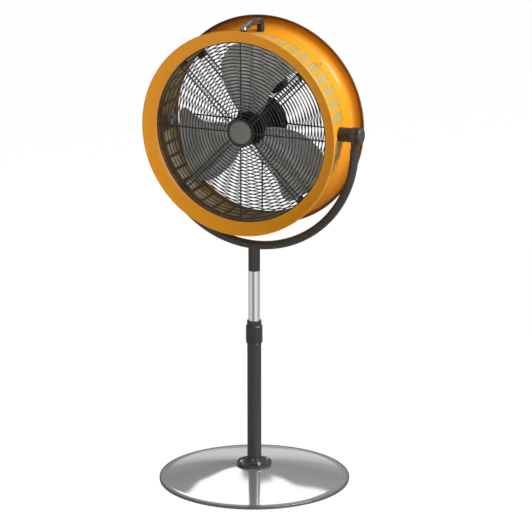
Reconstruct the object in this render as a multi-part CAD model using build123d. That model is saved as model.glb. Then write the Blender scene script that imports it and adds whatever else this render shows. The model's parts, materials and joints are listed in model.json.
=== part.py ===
from build123d import *
import math
import os

# Pedestal drum fan. Millimetres, +Z up. The origin is on the floor under the pole's axis.
# The drum's axis runs along Y and it blows towards -Y. The tilt axis runs along X.

# ---- foot ----
base_radius = 315.0
base_rise = 48.0
base_sheet = 2.0
base_bulge = 4.0
base_flat_radius = 62.0
trim_width = 11.0
trim_height = 8.5
trim_ledge = 6.0
trim_lip = 4.0
weight_inset = 49.0
weight_thickness = 7.0
weight_boss_radius = 60.0
foot_clearance = 0.3

# ---- pole flange and outer tube ----
flange_radius = 57.0
flange_thickness = 10.0
flange_neck_radius = 29.0
flange_neck_height = 16.0
flange_bolt_circle = 43.0
flange_bolt_radius = 4.0
flange_bolt_depth = 24.0
bolt_head_radius = 6.5
bolt_head_height = 9.0
pole_radius = 23.3
pole_wall = 2.0
pole_length = 472.0
tube_fit = 0.1

# ---- height lock ----
collar_radius = 27.5
collar_below_pole_top = 51.0
collar_wide_length = 58.0
collar_shoulder = 4.0
collar_length = 77.0
collar_top_radius = 23.8
collar_fit = 0.3
bush_length = 50.0
bush_lip = 3.0
collet_length = 14.0
collet_top_radius = 21.4
collet_slot = 2.0
collet_slots = 4

# ---- mast ----
mast_radius = 19.3
mast_wall = 1.8
mast_showing = 170.5
mast_length = 500.0
glide_length = 30.0
glide_cap = 3.0

# ---- neck and yoke ----
neck_length = 87.0
neck_bore_radius = 13.0
spigot_length = 56.0
spigot_plug_length = 24.0
spigot_bore_radius = 9.0
running_fit = 0.06
pin_radius = 2.5
pin_drop = 20.0
pin_groove_depth = 2.6
yoke_tube_radius = 14.0
yoke_tube_wall = 2.0
yoke_bend_drop = 49.5
arm_offset = 50.5
eye_radius = 27.0
eye_thickness = 15.7
eye_setback = 4.7
eye_plate_half_width = 20.0
eye_blend_height = 24.0

# ---- tilt pivots ----
boss_radius = 23.5
stud_radius = 6.0
stud_fit = 0.08
washer_thickness = 2.0
pivot_gap = 0.3
stud_inner_reach = 5.0
pivot_plate_thickness = 6.0
knob_radius = 27.5
knob_thickness = 14.7
knob_edge = 3.0
knob_socket_depth = 8.0

# ---- drum ----
barrel_radius = 299.5
drum_sheet = 2.0
barrel_front = -108.0
flare_start = 52.5
flare_bend_radius = 36.5
flare_lip = 7.8
rear_bead_radius = 3.2
front_skirt_length = 15.0
front_cone_reach = 37.8
front_cone_depth = 23.6
front_bead_radius = 2.4
window_count = 42
window_width = 34.0
window_length = 92.0
window_centre = -16.0
window_first_angle = 45.0

# ---- guards ----
wire = 3.5
guard_gap = 0.5
front_guard_rear = -105.3
rear_guard_front = 64.0
front_wire_rings = 12
rear_wire_rings = 8
double_spoke_half_gap = 6.5
badge_seat_radius = 45.0
motor_opening_clearance = 1.5
mount_plate_radius = 84.0
clip_radial = 15.0
clip_width = 26.0
clip_length = 13.0
rear_clip_length = 22.0
guard_screw_radius = 2.0
guard_screw_head_radius = 4.5
guard_screw_head = 2.5
guard_screw_length = 12.0
guard_screw_setback = 7.0
rear_screw_setback = 18.0
screw_clearance = 0.1

# ---- badge ----
badge_radius = 40.0
badge_ring_width = 3.5
badge_ring_depth = 6.0
badge_thickness = 3.0
badge_dome = 2.0

# ---- motor ----
motor_radius = 57.0
motor_wall = 4.0
motor_front = 24.0
motor_length = 104.0
end_cover = 5.0
bearing_radius = 16.0
bearing_width = 9.0
bearing_housing_wall = 8.0
shaft_radius = 8.0
shaft_front = -56.0
shaft_fit = 0.05
stator_bore = 34.0
stator_length = 65.0
air_gap = 0.6
vent_count = 12
vent_inner_radius = 30.0
vent_outer_radius = 50.0
vent_width = 7.0
mount_plate_thickness = 4.0
mount_collar_wall = 3.0
mount_collar_length = 11.0
mount_bolt_circle = 75.0
mount_bolt_radius = 3.0
mount_bolt_count = 4
terminal_box_width = 28.0
terminal_box_length = 40.0
terminal_box_height = 17.0
terminal_box_offset = -20.0

# ---- impeller ----
hub_radius = 55.0
hub_front = -45.0
hub_depth = 55.0
hub_plate = 5.0
hub_rim = 4.0
hub_boss_radius = 17.0
hub_nut_radius = 13.0
hub_nut_height = 7.0
blade_count = 3
blade_first_angle = 90.0
blade_tip_clearance = 22.5
blade_thickness = 2.5
blade_camber = 60.0
blade_corner = 26.0
# A blade's sections: distance from the shaft, place along the shaft and pitch.
blade_stations = [(27.0, -35.0, 0.0), (120.0, -32.0, 2.0), (180.0, -18.0, 13.0), (310.0, -14.0, 13.0)]
# Angles of a blade's edges from its own axis, at these distances from the shaft.
blade_edge_radii = (47.0, 110.0, 160.0, 210.0, 275.0)
blade_leading_angles = (-33.0, -34.5, -31.0, -34.5, -40.0)
blade_trailing_angles = (33.0, 36.0, 32.0, 26.5, 13.0)

# ---- switch box ----
box_place = (46.0, 122.0)
box_turn = 35.0
box_length = 54.0
box_width = 44.0
box_depth = 36.0
box_corner = 12.0
box_plate = 2.5
switch_knob_radius = 14.0
switch_knob_height = 15.0
switch_shaft_radius = 3.0
gland_nut_radius = 9.9
gland_sleeve_radius = 7.65
gland_length = 18.0
gland_bore = 4.5

# ---- handle ----
handle_front = -84.0
handle_rear = 54.0
handle_tube_radius = 10.0
handle_foot_radius = 12.5
handle_foot_height = 14.0
handle_leg = 20.0
handle_bow = 9.0
handle_bend = 13.0
handle_screw_radius = 3.0
handle_screw_head_radius = 6.0

# ---- places that follow from the sizes above ----
flange_top = base_rise + flange_thickness
pole_top = base_rise + pole_length
pole_bore = pole_radius - pole_wall
collar_bottom = pole_top - collar_below_pole_top
collar_top = collar_bottom + collar_length
mast_bore = mast_radius - mast_wall
mast_top = collar_top + mast_showing
mast_bottom = mast_top - mast_length
barrel_bore = barrel_radius - drum_sheet
arm_centre = barrel_radius + arm_offset
eye_inner = arm_centre - eye_setback
eye_outer = eye_inner + eye_thickness
boss_end = eye_inner - pivot_gap - washer_thickness
knob_inner = eye_outer + pivot_gap
yoke_low = mast_top + neck_length
bend_centre = yoke_low + arm_centre
drum_axis = bend_centre + yoke_bend_drop
skirt_outer = barrel_bore - screw_clearance
skirt_bore = skirt_outer - drum_sheet
front_guard_radius = skirt_bore - guard_gap
rear_guard_radius = barrel_bore - guard_gap
front_guard_front = front_guard_rear - wire
rear_guard_rear = rear_guard_front + wire
motor_rear = motor_front + motor_length
front_screw_y = front_guard_rear + guard_screw_setback
rear_screw_y = rear_guard_front - rear_screw_setback
blade_tip_radius = barrel_bore - blade_tip_clearance
handle_head_seat = math.sqrt(barrel_bore ** 2 - handle_screw_head_radius ** 2)
motor_opening = motor_radius + motor_opening_clearance
box_front = rear_guard_rear + box_plate
box_rear = box_front + box_depth
diagonals = [45.0, 135.0, 225.0, 315.0]


# ---- small helpers ----
def turned_about_z(points):
    """Solid of revolution about Z of a closed outline of (radius, height) points."""
    return revolve(Plane.XZ * make_face(Polyline(*points, close=True)), Axis.Z)


def turned_about_y(points):
    """Solid of revolution about Y of a closed outline of (radius, y) points."""
    return revolve(make_face(Polyline(*points, close=True)), Axis.Y)


def turned_about_x(points):
    """Solid of revolution about X of a closed outline of (x, radius) points."""
    return revolve(make_face(Polyline(*points, close=True)), Axis.X)


def ring_z(outer, inner, low, high):
    return turned_about_z([(inner, low), (outer, low), (outer, high), (inner, high)])


def ring_y(outer, inner, low, high):
    return turned_about_y([(inner, low), (outer, low), (outer, high), (inner, high)])


def rod(radius, start, direction, length):
    """Round rod from a start point along a direction."""
    return extrude(Plane(start, z_dir=direction) * Circle(radius), length)


def block(low, high):
    """Box between two opposite corners."""
    size = [b - a for a, b in zip(low, high)]
    centre = [(a + b) / 2 for a, b in zip(low, high)]
    return Pos(*centre) * Box(*size)


def about_axis(shape, angle):
    """A head piece turned about the drum's axis, anticlockwise as seen from the front."""
    return Rot(0, -angle, 0) * shape


def on_head(shape):
    """Lifts a piece that was drawn about the drum's own centre to the drum's height."""
    return Pos(0, 0, drum_axis) * shape


def save(shape, node):
    export_step(shape, "parts/" + node + ".step")


def save_group(shapes, node):
    """Writes separate solids that are one kind of piece."""
    export_step(Compound(children=[s for shape in shapes for s in shape.solids()]), "parts/" + node + ".step")


# ---- foot ----
def base_disc():
    """Gently domed polished disc whose edge lies on the trim's ledge."""
    edge = base_radius - trim_lip - foot_clearance
    rim = base_radius - trim_width - trim_lip
    middle = ((base_flat_radius + rim) / 2, (base_rise + trim_ledge) / 2 + base_bulge)
    top = [
        Line((0, base_rise), (base_flat_radius, base_rise)),
        ThreePointArc((base_flat_radius, base_rise), middle, (rim, trim_ledge + base_sheet)),
        Line((rim, trim_ledge + base_sheet), (edge, trim_ledge + base_sheet)),
    ]
    under = [Pos(0, -base_sheet) * line for line in top]
    ends = [Line(under[0] @ 0, top[0] @ 0), Line(top[2] @ 1, under[2] @ 1)]
    disc = revolve(Plane.XZ * make_face(top + under + ends), Axis.Z)
    return disc - flange_bolt_holes()


def flange_bolt_holes():
    drill = rod(flange_bolt_radius + screw_clearance, (flange_bolt_circle, 0, base_rise - flange_bolt_depth),
                (0, 0, 1), flange_bolt_depth + flange_thickness)
    return [Rot(0, 0, a) * drill for a in diagonals]


def base_weight():
    """Cast plate under the disc, with the boss that the flange's bolts screw into."""
    low = trim_ledge
    high = base_rise - base_sheet
    outline = [
        (0, low), (base_radius - weight_inset - trim_width, low),
        (base_radius - weight_inset - trim_width, low + weight_thickness),
        (weight_boss_radius, low + weight_thickness + flange_thickness),
        (weight_boss_radius - weight_thickness, high), (0, high),
    ]
    return turned_about_z(outline) - flange_bolt_holes()


def edge_trim():
    """Rubber ring that the foot stands on and whose lip holds the disc's edge."""
    inner = base_radius - trim_width
    return turned_about_z([
        (inner, 0), (base_radius, 0), (base_radius, trim_height - base_sheet / 2),
        (base_radius - base_sheet / 2, trim_height), (base_radius - trim_lip, trim_height),
        (base_radius - trim_lip, trim_ledge), (inner, trim_ledge),
    ])


# ---- pole ----
def pole_flange():
    bore = pole_radius + tube_fit
    shape = turned_about_z([
        (bore, base_rise), (flange_radius, base_rise), (flange_radius, flange_top),
        (flange_neck_radius + flange_neck_height / 4, flange_top),
        (flange_neck_radius, flange_top + flange_neck_height / 4),
        (bore + base_sheet, flange_top + flange_neck_height), (bore, flange_top + flange_neck_height),
    ])
    return shape - flange_bolt_holes()


def flange_bolts():
    shank = rod(flange_bolt_radius, (0, 0, base_rise - flange_bolt_depth), (0, 0, 1),
                flange_bolt_depth + flange_thickness)
    head = Pos(0, 0, flange_top) * extrude(RegularPolygon(bolt_head_radius, 6), bolt_head_height)
    bolt = Pos(flange_bolt_circle, 0, 0) * (shank + head)
    return [Rot(0, 0, a) * bolt for a in diagonals]


def outer_tube():
    return ring_z(pole_radius, pole_bore, base_rise, pole_top)


def guide_bush():
    """Plastic bush in the outer tube's mouth that the mast slides in."""
    inner = mast_radius + tube_fit
    body = ring_z(pole_bore - tube_fit, inner, pole_top - bush_length, pole_top)
    return body + ring_z(pole_radius, inner, pole_top, pole_top + bush_lip)


def clamp_collet():
    """Slotted taper that the collar squeezes on to the mast."""
    low = pole_top + bush_lip
    inner = mast_radius + tube_fit
    shape = turned_about_z([
        (inner, low), (pole_radius - collar_fit, low), (collet_top_radius, low + collet_length),
        (inner, low + collet_length),
    ])
    slot = block((0, -collet_slot / 2, low + bush_lip), (pole_radius, collet_slot / 2, low + collet_length))
    return shape - [Rot(0, 0, 360.0 / collet_slots * i) * slot for i in range(collet_slots)]


def lock_collar():
    """Twist collar: a wide grip, a shoulder and a narrow top, with a taper inside."""
    wide_top = collar_bottom + collar_wide_length
    bore = pole_radius + collar_fit
    taper_low = pole_top + bush_lip
    taper_high = taper_low + collet_length
    return turned_about_z([
        (bore, collar_bottom), (collar_radius - collar_shoulder / 2, collar_bottom),
        (collar_radius, collar_bottom + collar_shoulder), (collar_radius, wide_top),
        (collar_top_radius + collar_fit, wide_top + collar_shoulder), (collar_top_radius, collar_top),
        (mast_radius + 2 * collar_fit, collar_top), (mast_radius + 2 * collar_fit, taper_high + collar_fit),
        (collet_top_radius + collar_fit, taper_high), (bore, taper_low),
    ])


# ---- mast ----
def mast_tube():
    hole = rod(pin_radius + screw_clearance, (0, 0, mast_top - pin_drop), (0, 1, 0), 2 * mast_radius)
    return ring_z(mast_radius, mast_bore, mast_bottom, mast_top) - hole


def mast_glide():
    """Plastic foot that keeps the mast's lower end centred in the outer tube."""
    outer = pole_bore - tube_fit
    sleeve = ring_z(outer, mast_radius + tube_fit, mast_bottom, mast_bottom + glide_length)
    return sleeve + ring_z(outer, neck_bore_radius, mast_bottom - glide_cap, mast_bottom)


def pan_pin():
    """Grub pin, flush with the mast, whose nose runs in the spigot's groove."""
    nose = mast_bore - running_fit - pin_groove_depth + pivot_gap
    pin = rod(pin_radius, (0, nose, mast_top - pin_drop), (0, 1, 0), mast_radius - nose)
    return pin & ring_z(mast_radius, 0, mast_bottom, mast_top)


# ---- yoke ----
def neck_sleeve():
    """Neck that stands on the mast's end. Its top is saddled to the yoke's tube."""
    return ring_z(mast_radius, neck_bore_radius, mast_top, yoke_low) - yoke_bend(yoke_tube_radius)


def neck_spigot():
    """Turned spigot, pressed into the neck, that pans inside the mast."""
    outer = mast_bore - running_fit
    groove_low = mast_top - pin_drop - pin_radius - screw_clearance
    groove_high = mast_top - pin_drop + pin_radius + screw_clearance
    plug_top = mast_top + spigot_plug_length
    return turned_about_z([
        (spigot_bore_radius, mast_top - spigot_length), (outer, mast_top - spigot_length),
        (outer, groove_low), (outer - pin_groove_depth, groove_low),
        (outer - pin_groove_depth, groove_high), (outer, groove_high), (outer, mast_top),
        (neck_bore_radius, mast_top), (neck_bore_radius, plug_top), (spigot_bore_radius, plug_top),
    ])


def yoke_bend(radius):
    """Half ring of round bar that hangs from the two arms."""
    section = Plane.XY * (Pos(arm_centre, 0) * Circle(radius))
    return Pos(0, 0, bend_centre) * revolve(section, Axis.Y, 180)


def yoke_eye(side):
    """Flattened end of the tube with the round eye that the tilt stud passes through."""
    flat_low = bend_centre + eye_blend_height
    middle = side * (eye_inner + eye_outer) / 2
    low = Plane((side * arm_centre, 0, bend_centre)) * Circle(yoke_tube_radius)
    high = Plane((middle, 0, flat_low)) * Rectangle(eye_thickness, 2 * eye_plate_half_width)
    blend = loft([low, high])
    plate = Pos(middle, 0, (flat_low + drum_axis) / 2) * Box(
        eye_thickness, 2 * eye_plate_half_width, drum_axis - flat_low)
    eye = rod(eye_radius, (side * eye_inner, 0, drum_axis), (side, 0, 0), eye_thickness)
    bore = rod(stud_radius + stud_fit, (0, 0, drum_axis), (side, 0, 0), 2 * arm_centre)
    return blend + plate + eye - bore


def yoke():
    tube = yoke_bend(yoke_tube_radius) - yoke_bend(yoke_tube_radius - yoke_tube_wall)
    return tube + yoke_eye(1) + yoke_eye(-1)


# ---- tilt pivots ----
def along_x(side, start, end, radius):
    """Round bar on the tilt axis between two distances from the middle, on one side."""
    return rod(radius, (side * start, 0, 0), (side, 0, 0), end - start)


def pivot_boss(side):
    body = along_x(side, barrel_bore - pivot_plate_thickness, boss_end, boss_radius)
    bore = along_x(side, 0, boss_end, stud_radius + stud_fit)
    return body - rod(barrel_radius, (0, flare_start, 0), (0, -1, 0), 2 * flare_start) - bore


def pivot_plate(side):
    """Backing plate that clamps the sheet between itself and the boss."""
    plate = along_x(side, barrel_bore - pivot_plate_thickness, barrel_radius, boss_radius)
    inside = rod(barrel_bore, (0, flare_start, 0), (0, -1, 0), 2 * flare_start)
    return (plate & inside) - along_x(side, 0, boss_end, stud_radius + stud_fit)


def friction_washer(side):
    body = along_x(side, boss_end, boss_end + washer_thickness, boss_radius)
    return body - along_x(side, 0, 2 * boss_end, stud_radius + stud_fit)


def tilt_stud(side):
    inner = barrel_bore - pivot_plate_thickness - stud_inner_reach
    return along_x(side, inner, knob_inner + knob_socket_depth, stud_radius)


def tilt_knob(side):
    """Round clamp knob with a shallow dished face."""
    outer = knob_inner + knob_thickness
    outline = [
        (knob_inner, stud_radius), (knob_inner, knob_radius - knob_edge),
        (knob_inner + knob_edge, knob_radius),
        (outer - knob_edge, knob_radius), (outer, knob_radius - knob_edge),
        (outer, knob_radius / 2), (outer - knob_edge / 2, 0),
        (knob_inner + knob_socket_depth, 0), (knob_inner + knob_socket_depth, stud_radius),
    ]
    shape = turned_about_x(outline)
    return shape if side > 0 else mirror(shape, about=Plane.YZ)


# ---- drum ----
def drum_barrel():
    """Rolled sheet barrel with a ring of air windows, left whole at the pivots."""
    shape = ring_y(barrel_radius, barrel_bore, barrel_front, flare_start)
    window = Pos(barrel_radius, window_centre, 0) * Box(8 * drum_sheet, window_length, window_width)
    angles = [window_first_angle + 360.0 / window_count * i for i in range(window_count)]
    shape -= [about_axis(window, a) for a in angles if clear_of_pivots(a)]
    return shape - guard_screw_holes() - handle_screw_holes() - pivot_holes()


def clear_of_pivots(angle):
    """Whether a window at this angle leaves the sheet whole round a pivot's hole."""
    height = barrel_radius * abs(math.sin(math.radians(angle)))
    return height > window_width / 2 + stud_radius


def rear_bell():
    """Bell-shaped rear rim, welded to the barrel's end, with a lip and a rolled bead."""
    bend = (barrel_radius + flare_bend_radius, flare_start)
    rear = flare_start + flare_bend_radius
    sheet = Pos(*bend) * (Circle(flare_bend_radius + drum_sheet) - Circle(flare_bend_radius))
    quadrant = Pos(barrel_radius, rear) * Rectangle(2 * flare_bend_radius, 2 * flare_bend_radius)
    lip = Pos(bend[0] + flare_lip / 2, rear + drum_sheet / 2) * Rectangle(flare_lip, drum_sheet)
    bead = Pos(bend[0] + flare_lip, rear) * Circle(rear_bead_radius)
    return revolve((sheet & quadrant) + lip + bead, Axis.Y) - handle_screw_holes()


def pivot_holes():
    return [along_x(side, 0, boss_end, stud_radius + stud_fit) for side in (-1, 1)]


def front_ring():
    """Conical mouth ring with a rolled outer edge and a skirt that slips into the barrel."""
    skirt_low = front_guard_front
    start = Vector(skirt_outer - drum_sheet / 2, skirt_low)
    end = Vector(start.X + front_cone_reach, start.Y - front_cone_depth)
    across = (end - start).normalized().rotate(Axis.Z, 90) * (drum_sheet / 2)
    corners = [start + across, end + across, end - across, start - across]
    cone = make_face(Polyline(*[(c.X, c.Y) for c in corners], close=True))
    skirt = Pos(start.X, skirt_low + front_skirt_length / 2 - drum_sheet / 4) * Rectangle(
        drum_sheet, front_skirt_length + drum_sheet / 2)
    bead = Pos(end.X, end.Y) * Circle(front_bead_radius)
    return revolve(cone + skirt + bead, Axis.Y) - guard_screw_holes()


# ---- guards ----
def guard(outer, inner, seat, ring_count):
    """Flat net of round wires, four single spokes and four double ones, as one holed face."""
    pitch = (outer - wire - inner) / ring_count
    net = Circle(outer) - Circle(outer - wire)
    for i in range(1, ring_count):
        radius = inner + pitch * i
        net += Circle(radius + wire / 2) - Circle(radius - wire / 2)
    length = outer - wire / 2 - inner
    spoke = Pos(inner + length / 2, 0) * Rectangle(length, wire)
    pair = [Pos(0, s * double_spoke_half_gap) * spoke for s in (-1, 1)]
    for i in range(4):
        net += Rot(0, 0, 90 * i) * spoke
        net += [Rot(0, 0, 90 * i + 45) * p for p in pair]
    net += Circle(inner + wire) - Circle(seat) if seat > 0 else Circle(inner + wire)
    return extrude(Plane.XZ * net, -wire)


def front_guard():
    return Pos(0, front_guard_front, 0) * guard(front_guard_radius, badge_seat_radius, 0, front_wire_rings)


def rear_guard():
    inner = mount_plate_radius
    shape = Pos(0, rear_guard_front, 0) * guard(rear_guard_radius, inner, motor_opening, rear_wire_rings)
    return shape - [about_axis(mount_bolt_hole(), 90 * i) for i in range(mount_bolt_count)]


def mount_bolt_hole():
    return rod(mount_bolt_radius + screw_clearance, (mount_bolt_circle, 0, 0), (0, 1, 0), 2 * motor_rear)


def guard_clip(bore, low, high):
    """Moulded block between a guard and the drum's wall, drawn at +X."""
    clip = block((bore - clip_radial, low, -clip_width / 2), (bore + clip_radial, high, clip_width / 2))
    return clip & rod(bore, (0, low, 0), (0, 1, 0), high - low)


def guard_screw(wall, place):
    """Pan-head screw from outside the drum into a clip, drawn at +X."""
    shank = rod(guard_screw_radius, (wall, place, 0), (-1, 0, 0), guard_screw_length)
    head = rod(guard_screw_head_radius, (wall, place, 0), (1, 0, 0), guard_screw_head)
    return shank + head


def guard_screw_holes():
    """Holes that the guards' screws pass through."""
    drills = [
        rod(guard_screw_radius + screw_clearance, (barrel_bore - guard_screw_length, y, 0), (1, 0, 0),
            2 * guard_screw_length)
        for y in (front_screw_y, rear_screw_y)
    ]
    return [about_axis(drill, a) for drill in drills for a in diagonals]


def clips(bore, low, high):
    return [about_axis(guard_clip(bore, low, high), a) - guard_screw_holes() for a in diagonals]


def guard_screws():
    screws = [guard_screw(barrel_radius, y) for y in (front_screw_y, rear_screw_y)]
    return [about_axis(screw, a) for screw in screws for a in diagonals]


# ---- badge ----
def badge_ring():
    low = front_guard_front - badge_ring_depth
    return ring_y(badge_radius + badge_ring_width, badge_radius, low, front_guard_front)


def badge_cap():
    """Blank domed cap inside the badge ring."""
    face = front_guard_front - badge_thickness
    sphere_rise = badge_dome
    radius = (badge_radius ** 2 + sphere_rise ** 2) / (2 * sphere_rise)
    cap = rod(badge_radius, (0, face - sphere_rise, 0), (0, 1, 0), badge_thickness + sphere_rise)
    return cap & (Pos(0, face - sphere_rise + radius, 0) * Sphere(radius))


# ---- motor ----
def motor_housing():
    return ring_y(motor_radius, motor_radius - motor_wall, motor_front, motor_rear)


def motor_front_cover():
    housing = bearing_radius + bearing_housing_wall
    plate = ring_y(motor_radius, bearing_radius, motor_front - end_cover, motor_front)
    cup = ring_y(housing, bearing_radius, motor_front - end_cover, motor_front + bearing_width)
    lip = ring_y(housing, shaft_radius + air_gap, motor_front - end_cover - wire, motor_front - end_cover)
    return plate + cup + lip


def motor_rear_cover():
    """Vented end cover with the rear bearing's cup."""
    housing = bearing_radius + bearing_housing_wall
    plate = ring_y(motor_radius, bearing_radius, motor_rear, motor_rear + end_cover)
    cup = ring_y(housing, bearing_radius, motor_rear - bearing_width, motor_rear + end_cover)
    cap = rod(housing, (0, motor_rear + end_cover, 0), (0, 1, 0), wire)
    vent = block((vent_inner_radius, motor_rear, -vent_width / 2),
                 (vent_outer_radius, motor_rear + end_cover, vent_width / 2))
    vents = [about_axis(vent, 360.0 / vent_count * i) for i in range(vent_count)]
    return plate + cup + cap - vents


def bearing(low):
    return ring_y(bearing_radius, shaft_radius + shaft_fit, low, low + bearing_width)


def motor_core(outer, inner):
    """Ring of laminations in the middle of the motor."""
    low = (motor_front + motor_rear - stator_length) / 2
    return ring_y(outer, inner, low, low + stator_length)


def motor_mount():
    """Flanged ring behind the rear guard that carries the motor."""
    inner = motor_radius
    low = rear_guard_rear
    plate = ring_y(mount_plate_radius, inner, low, low + mount_plate_thickness)
    collar = ring_y(inner + mount_collar_wall, inner, low, low + mount_plate_thickness + mount_collar_length)
    holes = [about_axis(mount_bolt_hole(), 90 * i) for i in range(mount_bolt_count)]
    return plate + collar - holes


def mount_bolts():
    low = rear_guard_front
    shank = rod(mount_bolt_radius, (mount_bolt_circle, low, 0), (0, 1, 0), wire + mount_plate_thickness)
    front_head = rod(2 * mount_bolt_radius, (mount_bolt_circle, low, 0), (0, -1, 0), mount_bolt_radius)
    nut_plane = Plane((mount_bolt_circle, low + wire + mount_plate_thickness, 0), z_dir=(0, 1, 0))
    nut = extrude(nut_plane * RegularPolygon(2 * mount_bolt_radius, 6), 2 * mount_bolt_radius)
    bolt = shank + front_head + nut
    return [about_axis(bolt, 90 * i) for i in range(mount_bolt_count)]


def terminal_box():
    """Small lead box on the top of the motor's housing."""
    rear = motor_rear - end_cover
    half = terminal_box_width / 2
    box = block((terminal_box_offset - half, rear - terminal_box_length, 0),
                (terminal_box_offset + half, rear, motor_radius + terminal_box_height))
    box = fillet(box.edges().filter_by(Axis.Z), end_cover)
    return box - rod(motor_radius, (0, 0, 0), (0, 1, 0), 2 * motor_rear)


def motor_shaft():
    return rod(shaft_radius, (0, shaft_front, 0), (0, 1, 0), motor_rear - shaft_front)


# ---- impeller ----
def fan_hub():
    """Cup-shaped hub with a boss on the shaft."""
    rear = hub_front + hub_depth
    bore = shaft_radius
    plate = ring_y(hub_radius, bore, hub_front, hub_front + hub_plate)
    rim = ring_y(hub_radius, hub_radius - hub_rim, hub_front, rear)
    boss = ring_y(hub_boss_radius, bore, hub_front, rear - hub_plate)
    return plate + rim + boss


def hub_nut():
    plane = Plane((0, hub_front, 0), z_dir=(0, -1, 0))
    return extrude(plane * RegularPolygon(hub_nut_radius, 6), hub_nut_height) - rod(
        shaft_radius, (0, hub_front, 0), (0, -1, 0), hub_nut_height)


def blade_section(distance, place, pitch):
    """Thin cambered strip square to a blade's own axis, which lies along +X here."""
    half = blade_tip_radius
    plane = Plane((distance, place, 0), x_dir=(0, 0, -1), z_dir=(1, 0, 0)).rotated((pitch, 0, 0))
    front = ThreePointArc((-half, -blade_camber), (0, 0), (half, -blade_camber))
    back = Pos(0, blade_thickness) * front
    ends = [Line(front @ 0, back @ 0), Line(front @ 1, back @ 1)]
    return plane * make_face([front, back] + ends)


def polar(radius, angle):
    return (radius * math.cos(math.radians(angle)), radius * math.sin(math.radians(angle)))


def blade_edge(angles):
    return Spline(*[polar(radius, angle) for radius, angle in zip(blade_edge_radii, angles)])


def blade_outline():
    """Front view of a blade about +X, with its leading edge below and its swept trailing edge above."""
    leading = blade_edge(blade_leading_angles)
    trailing = blade_edge(blade_trailing_angles)
    tip = ThreePointArc(leading @ 1, (blade_tip_radius, 0), trailing @ 1)
    outline = make_face([leading, tip, trailing, Line(trailing @ 0, leading @ 0)])
    return fillet(outline.vertices().sort_by_distance((0, 0, 0))[2:], blade_corner)


def fan_blade(angle):
    """Cambered sheet, flat at its root and pitched beyond it, cut to its outline and to the hub's wall."""
    plate = loft([blade_section(*station) for station in blade_stations])
    outline = extrude(Plane.XZ * blade_outline(), hub_radius * 2, both=True)
    hub = rod(hub_radius, (0, -2 * hub_radius, 0), (0, 1, 0), 4 * hub_radius)
    return about_axis((plate & outline) - hub, angle)


# ---- switch box ----
def at_box(shape):
    """Moves a piece drawn about the box's middle, with its length along X, to its place."""
    return Pos(box_place[0], 0, box_place[1]) * Rot(0, -box_turn, 0) * shape


def box_prism(low, high):
    """Round-cornered block with the switch box's outline."""
    prism = block((-box_length / 2, low, -box_width / 2), (box_length / 2, high, box_width / 2))
    return fillet(prism.edges().filter_by(Axis.Y), box_corner)


def switch_box():
    spindle = rod(switch_shaft_radius, (0, box_rear, 0), (0, 1, 0), switch_knob_height / 2)
    return at_box(box_prism(box_front, box_rear) + spindle)


def box_bracket():
    """Plate that clamps the switch box on the rear guard's wires."""
    return at_box(box_prism(rear_guard_rear, box_front))


def switch_knob():
    """Round pointer knob with a finger bar."""
    low = box_rear + pivot_gap
    grip = rod(switch_knob_radius, (0, low, 0), (0, 1, 0), switch_knob_height)
    bar = block((-switch_knob_radius, low, -wire), (switch_knob_radius, low + switch_knob_height, wire))
    disc = rod(switch_knob_radius, (0, low, 0), (0, 1, 0), switch_knob_height / 2)
    bore = rod(switch_shaft_radius + shaft_fit, (0, box_rear, 0), (0, 1, 0), switch_knob_height / 2)
    return at_box(disc + (bar & grip) - bore)


def cable_gland():
    """Gland on the box's upper side for the supply lead."""
    foot = (0, (box_front + box_rear) / 2, box_width / 2)
    nut = extrude(Plane(foot, z_dir=(0, 0, 1)) * RegularPolygon(gland_nut_radius, 6), gland_length / 3)
    sleeve = rod(gland_sleeve_radius, foot, (0, 0, 1), gland_length)
    return at_box(nut + sleeve - rod(gland_bore, foot, (0, 0, 1), gland_length))


# ---- handle ----
def handle_foot(place):
    """Black foot that is saddled to the barrel and, at the rear, to the bell."""
    foot = rod(handle_foot_radius, (0, place, barrel_bore), (0, 0, 1), drum_sheet + handle_foot_height)
    drum = rod(barrel_radius, (0, barrel_front, 0), (0, 1, 0), flare_start - barrel_front)
    outer = barrel_radius + flare_bend_radius
    disc = Pos(outer / 2, flare_start + flare_bend_radius / 2) * Rectangle(outer, flare_bend_radius)
    bell = revolve(disc - Pos(outer, flare_start) * Circle(flare_bend_radius), Axis.Y)
    return foot - drum - bell - handle_screw_holes()


def handle_screw_holes():
    return [rod(handle_screw_radius + screw_clearance, (0, y, barrel_bore - drum_sheet), (0, 0, 1),
                handle_foot_height + drum_sheet) for y in (handle_front, handle_rear)]


def handle_screw(place):
    """Screw from inside the drum up into a foot."""
    seat = (0, place, handle_head_seat)
    shank = rod(handle_screw_radius, seat, (0, 0, 1), handle_foot_height - drum_sheet)
    return shank + rod(handle_screw_head_radius, seat, (0, 0, -1), handle_screw_radius)


def handle_grip():
    """Bowed round tube from one foot to the other."""
    low = barrel_radius + handle_foot_height
    high = low + handle_leg
    middle = (handle_front + handle_rear) / 2
    route = FilletPolyline(
        (0, handle_front, low), (0, handle_front, high), (0, middle, high + handle_bow),
        (0, handle_rear, high), (0, handle_rear, low),
        radius=[handle_bend, 10 * handle_bend, handle_bend])
    return sweep(Plane(route @ 0, z_dir=route % 0) * Circle(handle_tube_radius), path=route)


def write_stand():
    save(base_disc(), "base_disc")
    save(base_weight(), "base_weight")
    save(edge_trim(), "edge_trim")
    save(pole_flange(), "pole_flange")
    save_group(flange_bolts(), "flange_bolts")
    save(outer_tube(), "outer_tube")
    save(guide_bush(), "guide_bush")
    save(clamp_collet(), "clamp_collet")
    save(lock_collar(), "lock_collar")
    save(mast_tube(), "mast_tube")
    save(mast_glide(), "mast_glide")
    save(pan_pin(), "pan_pin")


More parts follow.
